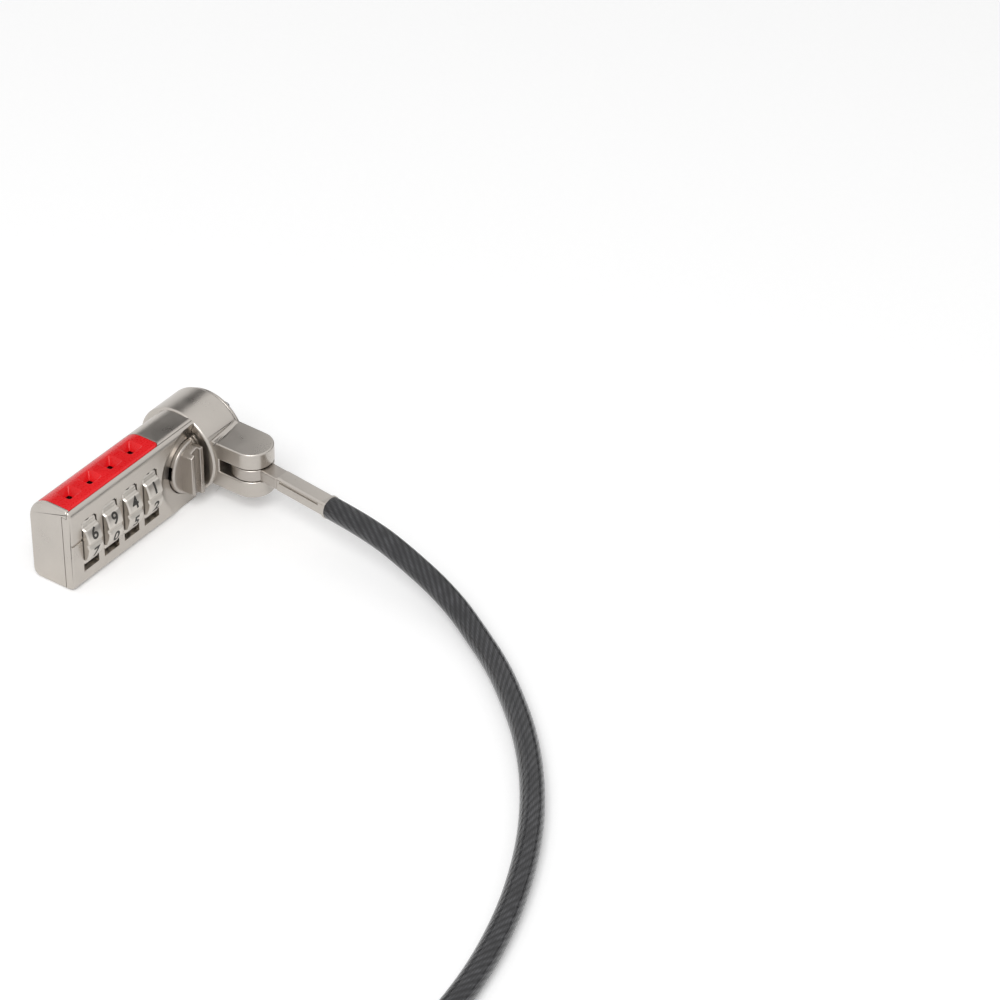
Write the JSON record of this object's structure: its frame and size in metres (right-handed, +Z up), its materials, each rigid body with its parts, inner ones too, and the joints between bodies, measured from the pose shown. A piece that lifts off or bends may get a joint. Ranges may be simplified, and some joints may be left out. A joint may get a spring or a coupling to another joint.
{
  "type": "laptop cable lock",
  "caption": "Bar-shaped combination lock for a laptop slot: turning dials, thumb button, T-bar nose, swivel collar and a steel cable coiled to its crimped end loop.",
  "frame": {"origin": "on the surface it stands on, under the middle of the lock's own box, without its cable", "axes": "+X along the lock towards the T-bar, +Z up, the dials' windows face -Y"},
  "size_m": [0.216, 0.1395, 0.026],
  "materials": {
    "satin_nickel": "satin nickel plate on a zinc casting",
    "button_nickel": "satin nickel plate",
    "red_plastic": "glossy red moulding",
    "dial_metal": "satin plated dial with dark figures",
    "sleeve_brass": "turned brass",
    "hardened_steel": "hardened steel",
    "spring_steel": "bright spring steel",
    "cable_sheath": "clear grey plastic over stranded steel",
    "tie_fabric": "black hook and loop tie"
  },
  "bodies": {
    "cable_end": {"cable_eye": "satin_nickel", "ferrule": "satin_nickel", "cable_run": "cable_sheath", "cable_coil": "cable_sheath", "coil_tie_1": "tie_fabric", "coil_tie_2": "tie_fabric", "loop_sleeve": "satin_nickel", "end_loop": "cable_sheath"},
    "collar": {"swivel_collar": "satin_nickel", "clevis_pin": "hardened_steel"},
    "lock_body": {"housing": "satin_nickel", "front_cover": "satin_nickel", "window_strip": "red_plastic", "cover_dowel_1": "hardened_steel", "cover_dowel_2": "hardened_steel", "detent_strip": "spring_steel", "nose_plate": "satin_nickel", "slot_peg_1": "hardened_steel", "slot_peg_2": "hardened_steel", "button_spring": "spring_steel"},
    "dial_1": {"dial_1": "dial_metal", "code_sleeve_1": "sleeve_brass"},
    "dial_2": {"dial_2": "dial_metal", "code_sleeve_2": "sleeve_brass"},
    "dial_3": {"dial_3": "dial_metal", "code_sleeve_3": "sleeve_brass"},
    "dial_4": {"dial_4": "dial_metal", "code_sleeve_4": "sleeve_brass"},
    "button": {"thumb_button": "button_nickel"},
    "t_bar": {"t_bar": "hardened_steel", "t_bar_pin": "hardened_steel", "spindle": "hardened_steel", "code_bar": "sleeve_brass", "crank": "hardened_steel"}
  },
  "joints": [
    {"name": "cable_pivot", "type": "hinge", "parent": "cable_end", "child": "collar", "pos_m": [0.0158, -0.00137, 0.009], "axis": [0, 0, 1], "range_deg": [-82, 68]},
    {"name": "collar_swivel", "type": "hinge", "parent": "collar", "child": "lock_body", "pos_m": [0.0158, 0.01293, 0.009], "axis": [1, 0, 0], "continuous": true},
    {"name": "dial_turn_1", "type": "hinge", "parent": "lock_body", "child": "dial_1", "pos_m": [-0.02015, 0.01293, 0.009], "axis": [1, 0, 0], "continuous": true},
    {"name": "dial_turn_2", "type": "hinge", "parent": "lock_body", "child": "dial_2", "pos_m": [-0.0144, 0.01293, 0.009], "axis": [1, 0, 0], "continuous": true},
    {"name": "dial_turn_3", "type": "hinge", "parent": "lock_body", "child": "dial_3", "pos_m": [-0.00865, 0.01293, 0.009], "axis": [1, 0, 0], "continuous": true},
    {"name": "dial_turn_4", "type": "hinge", "parent": "lock_body", "child": "dial_4", "pos_m": [-0.0029, 0.01293, 0.009], "axis": [1, 0, 0], "continuous": true},
    {"name": "button_press", "type": "slide", "parent": "lock_body", "child": "button", "axis": [0, 1, 0], "range_m": [0, 0.003], "stiffness_N_per_m": 400, "springref_m": -0.001, "deforming": ["button_spring"]},
    {"name": "t_bar_turn", "type": "hinge", "parent": "lock_body", "child": "t_bar", "pos_m": [0.0158, 0.01293, 0.009], "axis": [1, 0, 0], "range_deg": [-90, 0]}
  ],
  "couplings": [
    {"joint": "t_bar_turn", "follows": "button_press", "rad_per_m": -523.5}
  ]
}
